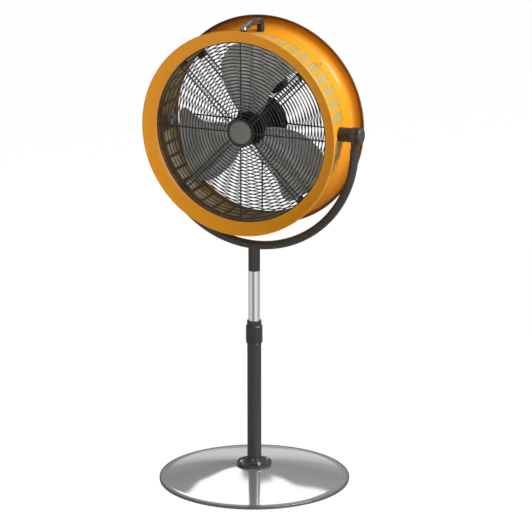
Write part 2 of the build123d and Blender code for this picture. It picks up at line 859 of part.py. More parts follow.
def write_yoke():
    save(neck_sleeve(), "neck_sleeve")
    save(neck_spigot(), "neck_spigot")
    save(yoke(), "yoke")
    for name, side in (("left", -1), ("right", 1)):
        save(on_head(pivot_boss(side)), "pivot_boss_" + name)
        save(on_head(pivot_plate(side)), "pivot_plate_" + name)
        save(on_head(friction_washer(side)), "friction_washer_" + name)
        save(on_head(tilt_stud(side)), "tilt_stud_" + name)
        save(on_head(tilt_knob(side)), "tilt_knob_" + name)


def write_drum():
    save(on_head(drum_barrel()), "drum_barrel")
    save(on_head(rear_bell()), "rear_bell")
    save(on_head(front_ring()), "front_ring")
    save(on_head(front_guard()), "front_guard")
    save(on_head(rear_guard()), "rear_guard")
    front = clips(skirt_bore, front_guard_rear, front_guard_rear + clip_length)
    rear = clips(barrel_bore, rear_guard_front - rear_clip_length, rear_guard_front)
    save_group([on_head(c) for c in front], "front_guard_clips")
    save_group([on_head(c) for c in rear], "rear_guard_clips")
    save_group([on_head(s) for s in guard_screws()], "guard_screws")
    save(on_head(badge_ring()), "badge_ring")
    save(on_head(badge_cap()), "badge_cap")
    save(on_head(handle_grip()), "handle_grip")
    save_group([on_head(handle_foot(y)) for y in (handle_front, handle_rear)], "handle_feet")
    save_group([on_head(handle_screw(y)) for y in (handle_front, handle_rear)], "handle_screws")


def write_motor():
    save(on_head(motor_housing()), "motor_housing")
    save(on_head(motor_front_cover()), "motor_front_cover")
    save(on_head(motor_rear_cover()), "motor_rear_cover")
    save(on_head(bearing(motor_front)), "bearing_front")
    save(on_head(bearing(motor_rear - bearing_width)), "bearing_rear")
    save(on_head(motor_core(motor_radius - motor_wall, stator_bore)), "stator")
    save(on_head(motor_core(stator_bore - air_gap, shaft_radius)), "rotor")
    save(on_head(motor_mount()), "motor_mount")
    save_group([on_head(b) for b in mount_bolts()], "mount_bolts")
    save(on_head(terminal_box()), "terminal_box")
    save(on_head(motor_shaft()), "motor_shaft")
    save(on_head(fan_hub()), "fan_hub")
    save(on_head(hub_nut()), "hub_nut")
    for i in range(blade_count):
        angle = blade_first_angle + 360.0 / blade_count * i
        save(on_head(fan_blade(angle)), "fan_blade_" + str(i + 1))


def write_switch():
    save(on_head(switch_box()), "switch_box")
    save(on_head(box_bracket()), "box_bracket")
    save(on_head(switch_knob()), "switch_knob")
    save(on_head(cable_gland()), "cable_gland")


os.makedirs("parts", exist_ok=True)
write_stand()
write_yoke()
write_drum()
write_motor()
write_switch()
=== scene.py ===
import bmesh
import bpy
import json
import math
from mathutils import Matrix, Vector

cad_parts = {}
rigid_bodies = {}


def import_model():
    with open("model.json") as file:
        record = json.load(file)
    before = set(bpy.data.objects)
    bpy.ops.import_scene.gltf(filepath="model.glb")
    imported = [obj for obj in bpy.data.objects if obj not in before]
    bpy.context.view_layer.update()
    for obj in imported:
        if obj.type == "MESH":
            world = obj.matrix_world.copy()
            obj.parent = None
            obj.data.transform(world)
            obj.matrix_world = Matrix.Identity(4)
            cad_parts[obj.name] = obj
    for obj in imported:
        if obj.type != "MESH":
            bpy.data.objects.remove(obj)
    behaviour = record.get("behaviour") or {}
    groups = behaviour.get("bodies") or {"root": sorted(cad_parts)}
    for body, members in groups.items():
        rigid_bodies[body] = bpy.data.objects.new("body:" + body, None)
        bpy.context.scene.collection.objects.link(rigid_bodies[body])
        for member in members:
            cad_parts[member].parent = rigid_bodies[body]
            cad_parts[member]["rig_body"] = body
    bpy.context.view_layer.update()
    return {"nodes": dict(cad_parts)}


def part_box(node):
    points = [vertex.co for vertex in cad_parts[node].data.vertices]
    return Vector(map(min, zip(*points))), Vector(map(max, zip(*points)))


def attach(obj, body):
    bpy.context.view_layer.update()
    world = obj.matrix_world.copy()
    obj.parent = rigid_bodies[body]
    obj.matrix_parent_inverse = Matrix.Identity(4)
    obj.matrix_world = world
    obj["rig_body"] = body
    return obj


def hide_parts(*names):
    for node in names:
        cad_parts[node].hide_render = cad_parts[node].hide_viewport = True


# Dressing of the pedestal drum fan. Metres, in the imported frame: the drum's axis runs along Y and the
# fan blows towards -Y, the tilt axis runs along X, and the floor is at Z 0.

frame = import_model()
nodes = frame["nodes"]

# ---- places and sizes taken from the frame ----
barrel_low, barrel_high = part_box("drum_barrel")
front_guard_low, front_guard_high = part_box("front_guard")
rear_guard_low, rear_guard_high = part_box("rear_guard")
foot_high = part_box("base_disc")[1]
badge_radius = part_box("badge_ring")[1].x
mount_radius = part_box("motor_mount")[1].x
bell_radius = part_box("rear_bell")[1].x

axis_height = (barrel_low.z + barrel_high.z) / 2
drum_centre = Vector((0, 0, axis_height))
barrel_radius = barrel_high.x
front_guard_radius = front_guard_high.x
rear_guard_radius = rear_guard_high.x
wire_radius = (front_guard_high.y - front_guard_low.y) / 2
front_guard_plane = (front_guard_low.y + front_guard_high.y) / 2
rear_guard_plane = (rear_guard_low.y + rear_guard_high.y) / 2

# ---- wire guards, their seats, the badge's two-tone face and the drum's painted shade ----
least_ring_pitch = 0.01075
spoke_half_gap = 0.0075
spoke_radius = 0.0024
spoke_tuck = 0.002
badge_ring_gap = 0.004
badge_seat_lip = 0.002
mount_ring_gap = 0.003
mount_seat_lip = 0.0035
motor_opening_radius = 0.0585
badge_face_share = 0.84
drum_sheet = 0.002
# Width and soft edge of the painted shade band at the bell's rim.
bell_rim_shade_width = 0.010
bell_rim_shade_blend = 0.007

# ---- sleeves on the handle ----
sleeve_height = 0.018
sleeve_wall = 0.0022
sleeve_bore_overlap = 0.001
sleeve_tuck = 0.004
sleeve_edge_height = 0.0012
sleeve_edge_wall = 0.0010

# ---- foot ----
foot_sheet = 0.002
foot_flat_radius = 0.062
foot_edge_width = 0.015
foot_edge_height = 0.008
foot_bulge = 0.004
foot_hole_radius = 0.0235

# ---- the barrel's windows ----
window_count = 42
window_first = math.radians(45.0)
window_width = 0.034
window_front = -0.062
window_rear = 0.030
pivot_clearance = 0.023
mesh_wire_radius = 0.0007
mesh_pitch = 0.0034

# ---- camera, as fitted to the photo ----
camera_place = Vector((4.40751, -10.07115, 3.87190))
camera_turn = math.radians(23.435)
camera_down = math.radians(15.947)
camera_lens = 236.848
camera_sensor = 36.0

# ---- studio ----
floor_half_width = 40.0
floor_glow = 1.05
floor_glow_share = 0.93
even_fill = 0.09
soft_box_white = 1.15
lamp_aim = Vector((0, 0, 1.2))


# ---- nodes of a tree ----
def add_node(tree, kind, place, **settings):
    """One node of a tree, at a place in its drawing, with its settings."""
    node = tree.nodes.new(kind)
    node.location = place
    for key, value in settings.items():
        setattr(node, key, value)
    return node


def preset(node, **values):
    """Sets a node's unlinked inputs. A name's underscores stand for spaces."""
    for key, value in values.items():
        node.inputs[key.replace("_", " ")].default_value = value


def map_range(tree, place, low, high, first=0.0, last=1.0, **settings):
    """Node that turns the range from low to high into the range from first to last."""
    node = add_node(tree, "ShaderNodeMapRange", place, **settings)
    preset(node, From_Min=low, From_Max=high, To_Min=first, To_Max=last)
    return node


def group_socket(group, name, kind, side, value=None):
    """Named input or output of a group, with its first value."""
    socket = group.interface.new_socket(name=name, in_out=side, socket_type=kind)
    if value is not None:
        socket.default_value = value


# ---- finishes ----
def mottle_group():
    """Group that varies a colour and a roughness softly and gives the height of a fine grain."""
    group = bpy.data.node_groups.new("soft_mottle", "ShaderNodeTree")
    group_socket(group, "Coordinates", "NodeSocketVector", "INPUT")
    group_socket(group, "Colour", "NodeSocketColor", "INPUT", (0.5, 0.5, 0.5, 1))
    group_socket(group, "Shade", "NodeSocketColor", "INPUT", (0.4, 0.4, 0.4, 1))
    group_socket(group, "Mottle Scale", "NodeSocketFloat", "INPUT", 12.0)
    group_socket(group, "Grain Scale", "NodeSocketFloat", "INPUT", 900.0)
    group_socket(group, "Roughness", "NodeSocketFloat", "INPUT", 0.4)
    group_socket(group, "Spread", "NodeSocketFloat", "INPUT", 0.08)
    group_socket(group, "Colour", "NodeSocketColor", "OUTPUT")
    group_socket(group, "Roughness", "NodeSocketFloat", "OUTPUT")
    group_socket(group, "Grain", "NodeSocketFloat", "OUTPUT")
    start = add_node(group, "NodeGroupInput", (-800, 0))
    end = add_node(group, "NodeGroupOutput", (500, 0))
    mottle = add_node(group, "ShaderNodeTexNoise", (-500, 200))
    preset(mottle, Detail=4.0)
    grain = add_node(group, "ShaderNodeTexNoise", (-500, -200))
    preset(grain, Detail=2.0)
    mix = add_node(group, "ShaderNodeMix", (200, 250), data_type="RGBA")
    spread = map_range(group, (-200, 0), 0.3, 0.7)
    lower = add_node(group, "ShaderNodeMath", (-450, -420), operation="SUBTRACT")
    upper = add_node(group, "ShaderNodeMath", (-450, -600), operation="ADD")
    link = group.links.new
    link(start.outputs["Coordinates"], mottle.inputs["Vector"])
    link(start.outputs["Mottle Scale"], mottle.inputs["Scale"])
    link(start.outputs["Coordinates"], grain.inputs["Vector"])
    link(start.outputs["Grain Scale"], grain.inputs["Scale"])
    link(mottle.outputs["Fac"], mix.inputs["Factor"])
    link(start.outputs["Colour"], mix.inputs["A"])
    link(start.outputs["Shade"], mix.inputs["B"])
    link(start.outputs["Roughness"], lower.inputs[0])
    link(start.outputs["Spread"], lower.inputs[1])
    link(start.outputs["Roughness"], upper.inputs[0])
    link(start.outputs["Spread"], upper.inputs[1])
    link(mottle.outputs["Fac"], spread.inputs["Value"])
    link(lower.outputs[0], spread.inputs["To Min"])
    link(upper.outputs[0], spread.inputs["To Max"])
    link(mix.outputs["Result"], end.inputs["Colour"])
    link(spread.outputs["Result"], end.inputs["Roughness"])
    link(grain.outputs["Fac"], end.inputs["Grain"])
    return group


def spun_group():
    """Group that gives the height of the fine circular marks which a lathe leaves about the Z axis."""
    group = bpy.data.node_groups.new("spun_marks", "ShaderNodeTree")
    group_socket(group, "Coordinates", "NodeSocketVector", "INPUT")
    group_socket(group, "Marks", "NodeSocketFloat", "INPUT", 900.0)
    group_socket(group, "Height", "NodeSocketFloat", "OUTPUT")
    start = add_node(group, "NodeGroupInput", (-800, 0))
    end = add_node(group, "NodeGroupOutput", (300, 0))
    flat = add_node(group, "ShaderNodeVectorMath", (-600, 0), operation="MULTIPLY")
    flat.inputs[1].default_value = (1, 1, 0)
    radius = add_node(group, "ShaderNodeVectorMath", (-400, 0), operation="LENGTH")
    noise = add_node(group, "ShaderNodeTexNoise", (-100, 0), noise_dimensions="1D")
    preset(noise, Detail=3.0)
    link = group.links.new
    link(start.outputs["Coordinates"], flat.inputs[0])
    link(flat.outputs["Vector"], radius.inputs[0])
    link(radius.outputs["Value"], noise.inputs["W"])
    link(start.outputs["Marks"], noise.inputs["Scale"])
    link(noise.outputs["Fac"], end.inputs["Height"])
    return group


soft_mottle = mottle_group()
spun_marks = spun_group()


def finish(name, colour, shade, roughness, spread, grain, depth, metallic=0.0, mottle=12.0, specular=0.5,
           **gloss):
    """Material with softly varied colour and roughness and a fine grain in its relief."""
    material = bpy.data.materials.new(name)
    material.use_nodes = True
    tree = material.node_tree
    shader = tree.nodes["Principled BSDF"]
    place = add_node(tree, "ShaderNodeTexCoord", (-900, 0))
    vary = add_node(tree, "ShaderNodeGroup", (-650, 0), node_tree=soft_mottle)
    preset(vary, Colour=(*colour, 1), Shade=(*shade, 1), Mottle_Scale=mottle, Grain_Scale=grain,
           Roughness=roughness, Spread=spread)
    relief = add_node(tree, "ShaderNodeBump", (-350, -250))
    preset(relief, Distance=depth, Strength=0.4)
    link = tree.links.new
    link(place.outputs["Object"], vary.inputs["Coordinates"])
    link(vary.outputs["Colour"], shader.inputs["Base Color"])
    link(vary.outputs["Roughness"], shader.inputs["Roughness"])
    link(vary.outputs["Grain"], relief.inputs["Height"])
    link(relief.outputs["Normal"], shader.inputs["Normal"])
    preset(shader, Metallic=metallic, Specular_IOR_Level=specular, **gloss)
    return material


drum_paint = finish("golden_drum_paint", (0.78, 0.300, 0.008), (0.75, 0.280, 0.006), 0.40, 0.03, 350.0, 0.0002,
                    specular=0.25, Coat_Weight=0.10, Coat_Roughness=0.25)
black_coat = finish("black_powder_coat", (0.026, 0.025, 0.022), (0.032, 0.031, 0.028), 0.38, 0.05, 1400.0, 0.0004,
                    specular=0.38)
black_moulding = finish("black_moulded_plastic", (0.020, 0.020, 0.019), (0.027, 0.027, 0.026), 0.42, 0.06, 2200.0,
                        0.0003, specular=0.4)
bright_chrome = finish("bright_chrome", (0.95, 0.95, 0.92), (0.92, 0.92, 0.89), 0.10, 0.02, 500.0, 0.00002,
                       metallic=1.0)
handle_steel = finish("satin_handle_steel", (0.26, 0.25, 0.23), (0.21, 0.20, 0.18), 0.22, 0.05, 900.0, 0.00006,
                      metallic=1.0)
zinc_plate = finish("zinc_plate", (0.50, 0.50, 0.50), (0.42, 0.42, 0.41), 0.35, 0.06, 900.0, 0.0001, metallic=1.0)
guard_wire = finish("guard_wire_coat", (0.022, 0.021, 0.019), (0.028, 0.027, 0.025), 0.38, 0.05, 1500.0, 0.0001,
                    specular=0.35)
blade_paint = finish("grey_blade_paint", (0.370, 0.366, 0.352), (0.400, 0.395, 0.380), 0.45, 0.06, 700.0, 0.0002,
                     specular=0.35)
motor_paint = finish("black_motor_paint", (0.010, 0.010, 0.009), (0.014, 0.014, 0.012), 0.50, 0.08, 600.0, 0.0004,
                     specular=0.22)
badge_rim_paint = finish("dark_brown_badge_rim", (0.045, 0.028, 0.015), (0.035, 0.022, 0.012), 0.35, 0.05, 900.0,
                         0.0001)
edge_satin = finish("satin_edge_trim", (0.150, 0.147, 0.132), (0.135, 0.132, 0.118), 0.40, 0.05, 1600.0, 0.0001,
                     metallic=0.7)
cast_iron = finish("cast_iron", (0.05, 0.05, 0.05), (0.03, 0.03, 0.03), 0.7, 0.08, 300.0, 0.001)
core_steel = finish("core_laminations", (0.20, 0.20, 0.20), (0.15, 0.15, 0.15), 0.5, 0.08, 600.0, 0.0003,
                    metallic=1.0)
mesh_coat = finish("pale_window_mesh", (0.60, 0.44, 0.13), (0.54, 0.39, 0.11), 0.45, 0.06, 900.0, 0.0001,
                   specular=0.3)


def spun_foot_steel():
    """Polished foot with the lathe's circular marks."""
    material = finish("spun_foot_steel", (0.92, 0.92, 0.90), (0.89, 0.89, 0.87), 0.075, 0.015, 500.0, 0.000004,
                      metallic=0.87, mottle=5.0)
    tree = material.node_tree
    place = tree.nodes["Texture Coordinate"]
    relief = tree.nodes["Bump"]
    marks = add_node(tree, "ShaderNodeGroup", (-650, -500), node_tree=spun_marks)
    tree.links.new(place.outputs["Object"], marks.inputs["Coordinates"])
    tree.links.new(marks.outputs["Height"], relief.inputs["Height"])
    return material


def two_tone_or_painted_shade(source, name, radius, other, blend=0.0002, beyond=False):
    """Copy of a material with another colour within a radius of the drum's axis, or beyond it: a real two-tone
    face on the badge, and painted shade on the drum.
    """
    material = source.copy()
    material.name = name
    tree = material.node_tree
    shader = tree.nodes["Principled BSDF"]
    place = tree.nodes["Texture Coordinate"]
    vary = tree.nodes["Group"]
    centred = add_node(tree, "ShaderNodeVectorMath", (-650, 400), operation="SUBTRACT")
    centred.inputs[1].default_value = drum_centre
    flat = add_node(tree, "ShaderNodeVectorMath", (-500, 400), operation="MULTIPLY")
    flat.inputs[1].default_value = (1, 0, 1)
    reach = add_node(tree, "ShaderNodeVectorMath", (-350, 400), operation="LENGTH")
    inner, outer = (0.0, 1.0) if beyond else (1.0, 0.0)
    within = map_range(tree, (-200, 400), radius - blend, radius + blend, inner, outer,
                       interpolation_type="SMOOTHSTEP")
    tone = add_node(tree, "ShaderNodeMix", (-150, 200), data_type="RGBA")
    preset(tone, B=(*other, 1))
    link = tree.links.new
    link(place.outputs["Object"], centred.inputs[0])
    link(centred.outputs["Vector"], flat.inputs[0])
    link(flat.outputs["Vector"], reach.inputs[0])
    link(reach.outputs["Value"], within.inputs["Value"])
    link(within.outputs["Result"], tone.inputs["Factor"])
    link(vary.outputs["Colour"], tone.inputs["A"])
    link(tone.outputs["Result"], shader.inputs["Base Color"])
    return material


foot_steel = spun_foot_steel()
# Painted shade: the barrel's inner face is coloured a darker brown to stand in for the dim light inside the drum.
barrel_paint_with_painted_shade = two_tone_or_painted_shade(drum_paint, "drum_paint_painted_shade_inside", barrel_radius - drum_sheet / 2, (0.20, 0.085, 0.006))
badge_face = two_tone_or_painted_shade(badge_rim_paint, "badge_face", badge_radius * badge_face_share, (0.150, 0.148, 0.140))
# Painted shade: a dark brown band at the bell's outer rim stands in for the shade on its rolled edge.
bell_paint_with_painted_shade = two_tone_or_painted_shade(drum_paint, "drum_paint_painted_shade_rim", bell_radius - bell_rim_shade_width, (0.13, 0.055, 0.004),
                      bell_rim_shade_blend, beyond=True)

node_finishes = {
    "base_disc": foot_steel, "base_weight": cast_iron, "edge_trim": edge_satin, "pole_flange": black_coat,
    "flange_bolts": bright_chrome, "outer_tube": black_coat, "guide_bush": black_moulding,
    "clamp_collet": black_moulding, "lock_collar": black_moulding, "mast_tube": bright_chrome,
    "mast_glide": black_moulding, "pan_pin": zinc_plate, "neck_sleeve": black_coat, "neck_spigot": zinc_plate,
    "yoke": black_coat, "drum_barrel": barrel_paint_with_painted_shade, "rear_bell": bell_paint_with_painted_shade, "front_ring": drum_paint,
    "front_guard_clips": black_moulding, "rear_guard_clips": black_moulding, "guard_screws": zinc_plate,
    "badge_ring": badge_rim_paint, "badge_cap": badge_face, "handle_grip": handle_steel,
    "handle_feet": black_moulding, "handle_screws": zinc_plate, "motor_housing": motor_paint,
    "motor_front_cover": motor_paint, "motor_rear_cover": motor_paint, "bearing_front": zinc_plate,
    "bearing_rear": zinc_plate, "stator": core_steel, "rotor": core_steel, "motor_mount": black_coat,
    "mount_bolts": zinc_plate, "terminal_box": motor_paint, "motor_shaft": zinc_plate, "fan_hub": motor_paint,
    "hub_nut": zinc_plate, "fan_blade_1": blade_paint, "fan_blade_2": blade_paint, "fan_blade_3": blade_paint,
    "switch_box": black_moulding, "box_bracket": black_coat, "switch_knob": black_moulding,
    "cable_gland": black_moulding,
}
for side in ("left", "right"):
    node_finishes["pivot_boss_" + side] = black_moulding
    node_finishes["pivot_plate_" + side] = zinc_plate
    node_finishes["friction_washer_" + side] = black_moulding
    node_finishes["tilt_stud_" + side] = zinc_plate
    node_finishes["tilt_knob_" + side] = black_moulding
for name in ("front_guard", "rear_guard"):
    node_finishes[name] = guard_wire
for name, material in node_finishes.items():
    mesh = nodes[name].data
    mesh.materials.clear()
    mesh.materials.append(material)


# ---- ways of making pieces ----
def new_object(name, mesh):
    """Object with this mesh, lamp or camera, in the scene."""
    made = bpy.data.objects.new(name, mesh)
    bpy.context.scene.collection.objects.link(made)
    return made


def finished_object(name, work, materials):
    """Object made from an edited mesh, which is freed."""
    mesh = bpy.data.meshes.new(name)
    work.to_mesh(mesh)
    work.free()
    for material in materials:
        mesh.materials.append(material)
    return new_object(name, mesh)


def shaded_smooth(work, crease):
    """Smooth faces, with an edge kept sharp where it bends by more than the crease's degrees."""
    for face in work.faces:
        face.smooth = True
    for edge in work.edges:
        edge.smooth = len(edge.link_faces) == 2 and edge.calc_face_angle() <= math.radians(crease)


# ---- wire pieces, made with Geometry Nodes ----
def geometry_tree(name, inputs):
    """Empty geometry tree with named inputs, and its input and output nodes."""
    tree = bpy.data.node_groups.new(name, "GeometryNodeTree")
    for label, kind, value in inputs:
        group_socket(tree, label, kind, "INPUT", value)
    group_socket(tree, "Geometry", "NodeSocketGeometry", "OUTPUT")
    start = add_node(tree, "NodeGroupInput", (-1200, 0))
    end = add_node(tree, "NodeGroupOutput", (1200, 0))
    return tree, start, end


def math_node(tree, place, operation, first, second):
    """Math node whose two inputs are links or numbers."""
    node = add_node(tree, "ShaderNodeMath", place, operation=operation)
    for socket, value in zip(node.inputs, (first, second)):
        if isinstance(value, (int, float)):
            socket.default_value = value
        else:
            tree.links.new(value, socket)
    return node.outputs[0]


def swept_ending(tree, start, end, curves):
    """Sweeps a round wire along curves, turns the drum's axis on to Y and puts it in place."""
    section = add_node(tree, "GeometryNodeCurvePrimitiveCircle", (500, -300))
    preset(section, Resolution=8)
    sweep = add_node(tree, "GeometryNodeCurveToMesh", (700, 0))
    turn = add_node(tree, "GeometryNodeTransform", (850, 0))
    preset(turn, Rotation=(math.pi / 2, 0, 0))
    smooth = add_node(tree, "GeometryNodeSetShadeSmooth", (950, 0))
    coat = add_node(tree, "GeometryNodeSetMaterial", (1050, 0))
    link = tree.links.new
    link(start.outputs["Wire Radius"], section.inputs["Radius"])
    link(curves, sweep.inputs["Curve"])
    link(section.outputs["Curve"], sweep.inputs["Profile Curve"])
    link(sweep.outputs["Mesh"], turn.inputs["Geometry"])
    link(start.outputs["Place"], turn.inputs["Translation"])
    link(turn.outputs["Geometry"], smooth.inputs["Geometry"])
    link(smooth.outputs["Geometry"], coat.inputs["Geometry"])
    link(start.outputs["Finish"], coat.inputs["Material"])
    link(coat.outputs["Geometry"], end.inputs["Geometry"])


common_inputs = [
    ("Wire Radius", "NodeSocketFloat", 0.002), ("Place", "NodeSocketVector", (0, 0, 0)),
    ("Finish", "NodeSocketMaterial", None),
]


def ring_tree():
    """Wire rings about one axis, each wider than the last by a pitch, and further along it by a step."""
    tree, start, end = geometry_tree("wire_rings", [
        ("Count", "NodeSocketInt", 10), ("First Radius", "NodeSocketFloat", 0.05),
        ("Pitch", "NodeSocketFloat", 0.01), ("Step", "NodeSocketFloat", 0.0)] + common_inputs)
    row = add_node(tree, "GeometryNodeMeshLine", (-900, 0))
    index = add_node(tree, "GeometryNodeInputIndex", (-900, -300))
    circle = add_node(tree, "GeometryNodeCurvePrimitiveCircle", (-300, -200))
    preset(circle, Resolution=128, Radius=1.0)
    place = add_node(tree, "GeometryNodeInstanceOnPoints", (0, 0))
    real = add_node(tree, "GeometryNodeRealizeInstances", (200, 0))
    offset = add_node(tree, "ShaderNodeCombineXYZ", (-1000, -100))
    scale = add_node(tree, "ShaderNodeCombineXYZ", (-300, -400))
    preset(scale, Z=1.0)
    grown = math_node(tree, (-700, -300), "MULTIPLY", index.outputs[0], start.outputs["Pitch"])
    radius = math_node(tree, (-500, -300), "ADD", grown, start.outputs["First Radius"])
    link = tree.links.new
    link(start.outputs["Count"], row.inputs["Count"])
    link(start.outputs["Step"], offset.inputs["Z"])
    link(offset.outputs[0], row.inputs["Offset"])
    link(radius, scale.inputs["X"])
    link(radius, scale.inputs["Y"])
    link(row.outputs["Mesh"], place.inputs["Points"])
    link(circle.outputs["Curve"], place.inputs["Instance"])
    link(scale.outputs[0], place.inputs["Scale"])
    link(place.outputs["Instances"], real.inputs["Geometry"])
    swept_ending(tree, start, end, real.outputs["Geometry"])
    return tree


def spoke_tree():
    """Straight wires set evenly about one axis, from a start point to an end point."""
    tree, start, end = geometry_tree("wire_spokes", [
        ("Count", "NodeSocketInt", 4), ("Start", "NodeSocketVector", (0, 0, 0)),
        ("End", "NodeSocketVector", (1, 0, 0)), ("First Angle", "NodeSocketFloat", 0.0)] + common_inputs)
    row = add_node(tree, "GeometryNodeMeshLine", (-900, 0))
    preset(row, Offset=(0, 0, 0))
    index = add_node(tree, "GeometryNodeInputIndex", (-900, -300))
    spoke = add_node(tree, "GeometryNodeCurvePrimitiveLine", (-300, -200))
    place = add_node(tree, "GeometryNodeInstanceOnPoints", (0, 0))
    real = add_node(tree, "GeometryNodeRealizeInstances", (200, 0))
    turn = add_node(tree, "ShaderNodeCombineXYZ", (-300, -400))
    step = math_node(tree, (-900, -500), "DIVIDE", math.tau, start.outputs["Count"])
    turned = math_node(tree, (-700, -400), "MULTIPLY", index.outputs[0], step)
    angle = math_node(tree, (-500, -400), "ADD", turned, start.outputs["First Angle"])
    link = tree.links.new
    link(start.outputs["Count"], row.inputs["Count"])
    link(start.outputs["Start"], spoke.inputs["Start"])
    link(start.outputs["End"], spoke.inputs["End"])
    link(angle, turn.inputs["Z"])
    link(row.outputs["Mesh"], place.inputs["Points"])
    link(spoke.outputs["Curve"], place.inputs["Instance"])
    link(turn.outputs[0], place.inputs["Rotation"])
    link(place.outputs["Instances"], real.inputs["Geometry"])
    swept_ending(tree, start, end, real.outputs["Geometry"])
    return tree


wire_rings = ring_tree()
wire_spokes = spoke_tree()


def grown_mesh(name, tree, values):
    """Plain mesh object of a geometry tree with these inputs."""
    holder = new_object(name + "_maker", bpy.data.meshes.new(name + "_maker"))
    modifier = holder.modifiers.new("maker", "NODES")
    modifier.node_group = tree
    for item in tree.interface.items_tree:
        if item.in_out == "INPUT" and item.name in values:
            modifier[item.identifier] = values[item.name]
    graph = bpy.context.evaluated_depsgraph_get()
    mesh = bpy.data.meshes.new_from_object(holder.evaluated_get(graph), depsgraph=graph)
    bpy.data.objects.remove(holder)
    return new_object(name, mesh)


def joined(name, parts):
    """One object from several, at the origin."""
    work = bmesh.new()
    materials = []
    for part in parts:
        for material in part.data.materials:
            if material not in materials:
                materials.append(material)
        work.from_mesh(part.data)
    for part in parts:
        bpy.data.objects.remove(part)
    return finished_object(name, work, materials)


def lathe(name, outline, centre, material, segments=128, crease=35.0, upright=False):
    """Closed ring or disc from (radius, place) points, turned about the drum's axis or an upright one."""
    work = bmesh.new()
    rows = []

    def placed(across, side, along):
        offset = (across, side, along) if upright else (across, along, side)
        return work.verts.new(centre + Vector(offset))

    for radius, along in outline:
        count = segments if radius > 1e-6 else 1
        rows.append([
            placed(radius * math.cos(math.tau * i / count), radius * math.sin(math.tau * i / count), along)
            for i in range(count)])
    for one, two in zip(rows, rows[1:] + rows[:1]):
        if len(one) == 1 and len(two) == 1:
            continue
        for i in range(segments):
            j = (i + 1) % segments
            ring = [one[i % len(one)], one[j % len(one)], two[j % len(two)], two[i % len(two)]]
            work.faces.new(list(dict.fromkeys(ring)))
    bmesh.ops.recalc_face_normals(work, faces=work.faces)
    shaded_smooth(work, crease)
    return finished_object(name, work, [material])


def smoothed(name, crease=32.0, weld=2e-6):
    """Piece with a CAD node's own shape, its loose triangles merged and its round faces shaded smooth."""
    node = nodes[name]
    work = bmesh.new()
    work.from_mesh(node.data)
    bmesh.ops.remove_doubles(work, verts=work.verts, dist=weld)
    shaded_smooth(work, crease)
    made = finished_object(name + "_smooth", work, [node_finishes[name]])
    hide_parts(name)
    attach(made, node["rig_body"])


def wire_guard(name, plane, outer, inner, hub_ring):
    """Guard of round wires: a fine set of rings, four single spokes and four double ones."""
    rim = outer - wire_radius
    count = int((rim - inner) / least_ring_pitch)
    pitch = (rim - inner) / count
    base = {"Wire Radius": wire_radius, "Place": (0, plane, axis_height), "Finish": guard_wire}
    parts = [
        grown_mesh(name + "_rings", wire_rings, {**base, "Count": count, "First Radius": inner, "Pitch": pitch}),
        grown_mesh(name + "_rim", wire_rings, {**base, "Count": 1, "First Radius": rim})]
    for offset, first in ((0.0, 0.0), (spoke_half_gap, math.pi / 4), (-spoke_half_gap, math.pi / 4)):
        parts.append(grown_mesh(name + "_spokes", wire_spokes, {
            **base, "Wire Radius": spoke_radius, "Count": 4, "Start": (hub_ring, offset, 0.0),
            "End": (rim, offset, 0.0), "First Angle": first}))
    return parts


badge_seat = badge_radius + badge_seat_lip
front_parts = wire_guard("front_guard_wires", front_guard_plane, front_guard_radius, badge_radius + badge_ring_gap,
                         badge_radius - spoke_tuck)
front_parts.append(lathe(
    "front_guard_seat",
    [(0, front_guard_low.y), (badge_seat, front_guard_low.y), (badge_seat, front_guard_high.y),
     (0, front_guard_high.y)], drum_centre, guard_wire))
front_wires = joined("front_guard_wires", front_parts)
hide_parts("front_guard")
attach(front_wires, "head")

mount_seat = mount_radius + mount_seat_lip
rear_parts = wire_guard("rear_guard_wires", rear_guard_plane, rear_guard_radius, mount_radius + mount_ring_gap,
                        mount_radius - spoke_tuck)
rear_parts.append(lathe(
    "rear_guard_seat",
    [(motor_opening_radius, rear_guard_low.y), (mount_seat, rear_guard_low.y), (mount_seat, rear_guard_high.y),
     (motor_opening_radius, rear_guard_high.y)], drum_centre, guard_wire))
rear_wires = joined("rear_guard_wires", rear_parts)
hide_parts("rear_guard")
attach(rear_wires, "head")


def handle_sleeves():
    """Black sleeves on the handle's legs, above its feet."""
    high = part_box("handle_feet")[1]
    grip_low, grip_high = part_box("handle_grip")
    bar = grip_high.x
    bore = bar - sleeve_bore_overlap
    outside = bar + sleeve_wall
    foot = high.z - sleeve_tuck
    top = high.z + sleeve_height
    outline = [(bore, foot), (outside, foot), (outside, top - sleeve_edge_height), (bar + sleeve_edge_wall, top),
               (bore, top)]
    made = joined("handle_sleeves", [
        lathe("sleeve", outline, Vector((0, along, 0)), black_moulding, segments=48, upright=True)
        for along in (grip_low.y + bar, grip_high.y - bar)])
    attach(made, "head")


handle_sleeves()


def through(first, middle, last, steps):
    """Points along the arc through three points."""
    (ax, ay), (bx, by), (cx, cy) = first, middle, last
    d = 2 * (ax * (by - cy) + bx * (cy - ay) + cx * (ay - by))
    a, b, c = ax * ax + ay * ay, bx * bx + by * by, cx * cx + cy * cy
    x = (a * (by - cy) + b * (cy - ay) + c * (ay - by)) / d
    y = (a * (cx - bx) + b * (ax - cx) + c * (bx - ax)) / d
    radius = math.hypot(ax - x, ay - y)
    start = math.atan2(ay - y, ax - x)
    turn = math.atan2(cy - y, cx - x) - start
    return [(x + radius * math.cos(start + turn * i / steps), y + radius * math.sin(start + turn * i / steps))
            for i in range(steps + 1)]


